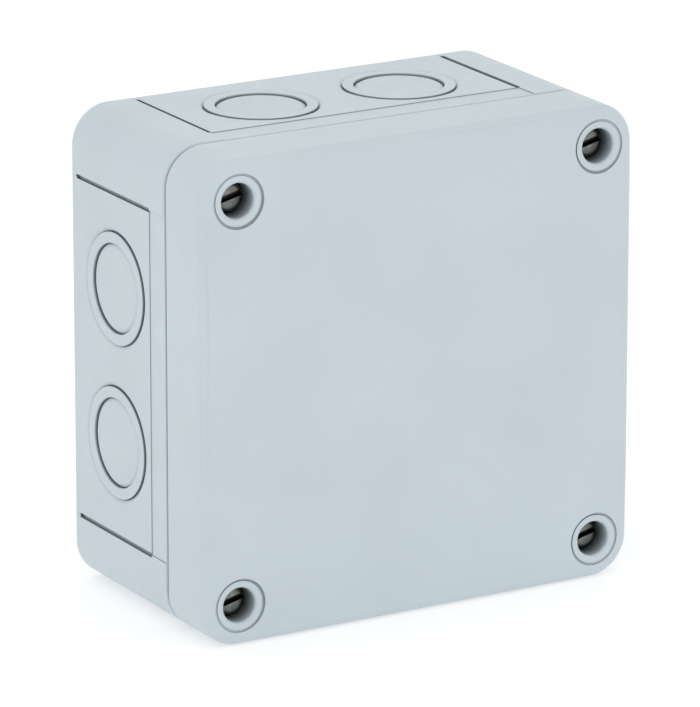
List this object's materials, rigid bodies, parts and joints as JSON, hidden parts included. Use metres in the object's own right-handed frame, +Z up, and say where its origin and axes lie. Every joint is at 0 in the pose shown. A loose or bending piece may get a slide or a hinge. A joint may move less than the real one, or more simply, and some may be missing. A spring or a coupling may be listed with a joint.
{
  "type": "electrical junction box",
  "caption": "Square surface-mounting junction box: deep screw-down lid with corner screws, two-stage knockouts on every side, rail-mounted screw-clamp terminals inside.",
  "frame": {"origin": "middle of the underside, on the surface that the box stands on", "axes": "+Z up, +X to the right seen from the front, +Y from the lid back to the wall face"},
  "size_m": [0.11, 0.06, 0.11],
  "materials": {
    "shell": "fine-textured light grey moulded thermoplastic",
    "gasket": "foamed polyurethane seal",
    "seal_ring": "black rubber ring",
    "screw_steel": "bright zinc-plated steel",
    "rail_steel": "passivated zinc-plated steel strip",
    "clamp_steel": "zinc-plated pressed steel",
    "brass": "turned brass",
    "copper": "tinned copper alloy bar",
    "terminal_grey": "grey polyamide",
    "terminal_blue": "blue polyamide",
    "terminal_green": "green polyamide",
    "bracket_grey": "dark grey polyamide"
  },
  "bodies": {
    "enclosure": {"base_shell": "shell", "threaded_inserts": "brass", "fixing_hole_caps": "shell", "mounting_rail": "rail_steel", "rail_screws": "screw_steel", "end_plate": "bracket_grey", "left_end_bracket": "bracket_grey", "right_end_bracket": "bracket_grey", "earth_foot": "brass", "terminal_l1_housing": "terminal_grey", "terminal_l1_busbar": "copper", "terminal_l2_housing": "terminal_grey", "terminal_l2_busbar": "copper", "terminal_l3_housing": "terminal_grey", "terminal_l3_busbar": "copper", "terminal_n_housing": "terminal_blue", "terminal_n_busbar": "copper", "terminal_pe_housing": "terminal_green", "terminal_pe_busbar": "copper"},
    "lid": {"lid_shell": "shell", "lid_gasket": "gasket"},
    "screw_seal_top_left": {"screw_seal_top_left": "seal_ring"},
    "cover_screw_top_left": {"cover_screw_top_left": "screw_steel"},
    "screw_seal_top_right": {"screw_seal_top_right": "seal_ring"},
    "cover_screw_top_right": {"cover_screw_top_right": "screw_steel"},
    "screw_seal_bottom_left": {"screw_seal_bottom_left": "seal_ring"},
    "cover_screw_bottom_left": {"cover_screw_bottom_left": "screw_steel"},
    "screw_seal_bottom_right": {"screw_seal_bottom_right": "seal_ring"},
    "cover_screw_bottom_right": {"cover_screw_bottom_right": "screw_steel"},
    "terminal_l1_upper_cage": {"terminal_l1_upper_cage": "clamp_steel"},
    "terminal_l1_upper_screw": {"terminal_l1_upper_screw": "screw_steel"},
    "terminal_l1_lower_cage": {"terminal_l1_lower_cage": "clamp_steel"},
    "terminal_l1_lower_screw": {"terminal_l1_lower_screw": "screw_steel"},
    "terminal_l2_upper_cage": {"terminal_l2_upper_cage": "clamp_steel"},
    "terminal_l2_upper_screw": {"terminal_l2_upper_screw": "screw_steel"},
    "terminal_l2_lower_cage": {"terminal_l2_lower_cage": "clamp_steel"},
    "terminal_l2_lower_screw": {"terminal_l2_lower_screw": "screw_steel"},
    "terminal_l3_upper_cage": {"terminal_l3_upper_cage": "clamp_steel"},
    "terminal_l3_upper_screw": {"terminal_l3_upper_screw": "screw_steel"},
    "terminal_l3_lower_cage": {"terminal_l3_lower_cage": "clamp_steel"},
    "terminal_l3_lower_screw": {"terminal_l3_lower_screw": "screw_steel"},
    "terminal_n_upper_cage": {"terminal_n_upper_cage": "clamp_steel"},
    "terminal_n_upper_screw": {"terminal_n_upper_screw": "screw_steel"},
    "terminal_n_lower_cage": {"terminal_n_lower_cage": "clamp_steel"},
    "terminal_n_lower_screw": {"terminal_n_lower_screw": "screw_steel"},
    "terminal_pe_upper_cage": {"terminal_pe_upper_cage": "clamp_steel"},
    "terminal_pe_upper_screw": {"terminal_pe_upper_screw": "screw_steel"},
    "terminal_pe_lower_cage": {"terminal_pe_lower_cage": "clamp_steel"},
    "terminal_pe_lower_screw": {"terminal_pe_lower_screw": "screw_steel"}
  },
  "joints": [
    {"name": "lid_lift_off", "type": "slide", "parent": "enclosure", "child": "lid", "axis": [0, -1, 0], "range_m": [0, 0.06]},
    {"name": "screw_travel_top_left", "type": "slide", "parent": "lid", "child": "screw_seal_top_left", "axis": [0, -1, 0], "range_m": [0, 0.009]},
    {"name": "screw_turn_top_left", "type": "hinge", "parent": "screw_seal_top_left", "child": "cover_screw_top_left", "pos_m": [-0.0458, -0.03, 0.1008], "axis": [0, -1, 0], "range_deg": [0, 4630]},
    {"name": "screw_travel_top_right", "type": "slide", "parent": "lid", "child": "screw_seal_top_right", "axis": [0, -1, 0], "range_m": [0, 0.009]},
    {"name": "screw_turn_top_right", "type": "hinge", "parent": "screw_seal_top_right", "child": "cover_screw_top_right", "pos_m": [0.0458, -0.03, 0.1008], "axis": [0, -1, 0], "range_deg": [0, 4630]},
    {"name": "screw_travel_bottom_left", "type": "slide", "parent": "lid", "child": "screw_seal_bottom_left", "axis": [0, -1, 0], "range_m": [0, 0.009]},
    {"name": "screw_turn_bottom_left", "type": "hinge", "parent": "screw_seal_bottom_left", "child": "cover_screw_bottom_left", "pos_m": [-0.0458, -0.03, 0.0092], "axis": [0, -1, 0], "range_deg": [0, 4630]},
    {"name": "screw_travel_bottom_right", "type": "slide", "parent": "lid", "child": "screw_seal_bottom_right", "axis": [0, -1, 0], "range_m": [0, 0.009]},
    {"name": "screw_turn_bottom_right", "type": "hinge", "parent": "screw_seal_bottom_right", "child": "cover_screw_bottom_right", "pos_m": [0.0458, -0.03, 0.0092], "axis": [0, -1, 0], "range_deg": [0, 4630]},
    {"name": "cage_rise_l1_upper", "type": "slide", "parent": "enclosure", "child": "terminal_l1_upper_cage", "axis": [0, -1, 0], "range_m": [0, 0.0045]},
    {"name": "clamp_turn_l1_upper", "type": "hinge", "parent": "enclosure", "child": "terminal_l1_upper_screw", "pos_m": [-0.0164, 0, 0.067], "axis": [0, 1, 0], "range_deg": [0, 2701]},
    {"name": "cage_rise_l1_lower", "type": "slide", "parent": "enclosure", "child": "terminal_l1_lower_cage", "axis": [0, -1, 0], "range_m": [0, 0.0045]},
    {"name": "clamp_turn_l1_lower", "type": "hinge", "parent": "enclosure", "child": "terminal_l1_lower_screw", "pos_m": [-0.0164, 0, 0.043], "axis": [0, 1, 0], "range_deg": [0, 2701]},
    {"name": "cage_rise_l2_upper", "type": "slide", "parent": "enclosure", "child": "terminal_l2_upper_cage", "axis": [0, -1, 0], "range_m": [0, 0.0045]},
    {"name": "clamp_turn_l2_upper", "type": "hinge", "parent": "enclosure", "child": "terminal_l2_upper_screw", "pos_m": [-0.0082, 0, 0.067], "axis": [0, 1, 0], "range_deg": [0, 2701]},
    {"name": "cage_rise_l2_lower", "type": "slide", "parent": "enclosure", "child": "terminal_l2_lower_cage", "axis": [0, -1, 0], "range_m": [0, 0.0045]},
    {"name": "clamp_turn_l2_lower", "type": "hinge", "parent": "enclosure", "child": "terminal_l2_lower_screw", "pos_m": [-0.0082, 0, 0.043], "axis": [0, 1, 0], "range_deg": [0, 2701]},
    {"name": "cage_rise_l3_upper", "type": "slide", "parent": "enclosure", "child": "terminal_l3_upper_cage", "axis": [0, -1, 0], "range_m": [0, 0.0045]},
    {"name": "clamp_turn_l3_upper", "type": "hinge", "parent": "enclosure", "child": "terminal_l3_upper_screw", "pos_m": [0, 0, 0.067], "axis": [0, 1, 0], "range_deg": [0, 2701]},
    {"name": "cage_rise_l3_lower", "type": "slide", "parent": "enclosure", "child": "terminal_l3_lower_cage", "axis": [0, -1, 0], "range_m": [0, 0.0045]},
    {"name": "clamp_turn_l3_lower", "type": "hinge", "parent": "enclosure", "child": "terminal_l3_lower_screw", "pos_m": [0, 0, 0.043], "axis": [0, 1, 0], "range_deg": [0, 2701]},
    {"name": "cage_rise_n_upper", "type": "slide", "parent": "enclosure", "child": "terminal_n_upper_cage", "axis": [0, -1, 0], "range_m": [0, 0.0045]},
    {"name": "clamp_turn_n_upper", "type": "hinge", "parent": "enclosure", "child": "terminal_n_upper_screw", "pos_m": [0.0082, 0, 0.067], "axis": [0, 1, 0], "range_deg": [0, 2701]},
    {"name": "cage_rise_n_lower", "type": "slide", "parent": "enclosure", "child": "terminal_n_lower_cage", "axis": [0, -1, 0], "range_m": [0, 0.0045]},
    {"name": "clamp_turn_n_lower", "type": "hinge", "parent": "enclosure", "child": "terminal_n_lower_screw", "pos_m": [0.0082, 0, 0.043], "axis": [0, 1, 0], "range_deg": [0, 2701]},
    {"name": "cage_rise_pe_upper", "type": "slide", "parent": "enclosure", "child": "terminal_pe_upper_cage", "axis": [0, -1, 0], "range_m": [0, 0.0045]},
    {"name": "clamp_turn_pe_upper", "type": "hinge", "parent": "enclosure", "child": "terminal_pe_upper_screw", "pos_m": [0.0164, 0, 0.067], "axis": [0, 1, 0], "range_deg": [0, 2701]},
    {"name": "cage_rise_pe_lower", "type": "slide", "parent": "enclosure", "child": "terminal_pe_lower_cage", "axis": [0, -1, 0], "range_m": [0, 0.0045]},
    {"name": "clamp_turn_pe_lower", "type": "hinge", "parent": "enclosure", "child": "terminal_pe_lower_screw", "pos_m": [0.0164, 0, 0.043], "axis": [0, 1, 0], "range_deg": [0, 2701]}
  ],
  "couplings": [
    {"joint": "screw_turn_top_left", "follows": "screw_travel_top_left", "rad_per_m": 8976},
    {"joint": "screw_turn_top_right", "follows": "screw_travel_top_right", "rad_per_m": 8976},
    {"joint": "screw_turn_bottom_left", "follows": "screw_travel_bottom_left", "rad_per_m": 8976},
    {"joint": "screw_turn_bottom_right", "follows": "screw_travel_bottom_right", "rad_per_m": 8976},
    {"joint": "clamp_turn_l1_upper", "follows": "cage_rise_l1_upper", "rad_per_m": 10472},
    {"joint": "clamp_turn_l1_lower", "follows": "cage_rise_l1_lower", "rad_per_m": 10472},
    {"joint": "clamp_turn_l2_upper", "follows": "cage_rise_l2_upper", "rad_per_m": 10472},
    {"joint": "clamp_turn_l2_lower", "follows": "cage_rise_l2_lower", "rad_per_m": 10472},
    {"joint": "clamp_turn_l3_upper", "follows": "cage_rise_l3_upper", "rad_per_m": 10472},
    {"joint": "clamp_turn_l3_lower", "follows": "cage_rise_l3_lower", "rad_per_m": 10472},
    {"joint": "clamp_turn_n_upper", "follows": "cage_rise_n_upper", "rad_per_m": 10472},
    {"joint": "clamp_turn_n_lower", "follows": "cage_rise_n_lower", "rad_per_m": 10472},
    {"joint": "clamp_turn_pe_upper", "follows": "cage_rise_pe_upper", "rad_per_m": 10472},
    {"joint": "clamp_turn_pe_lower", "follows": "cage_rise_pe_lower", "rad_per_m": 10472}
  ]
}
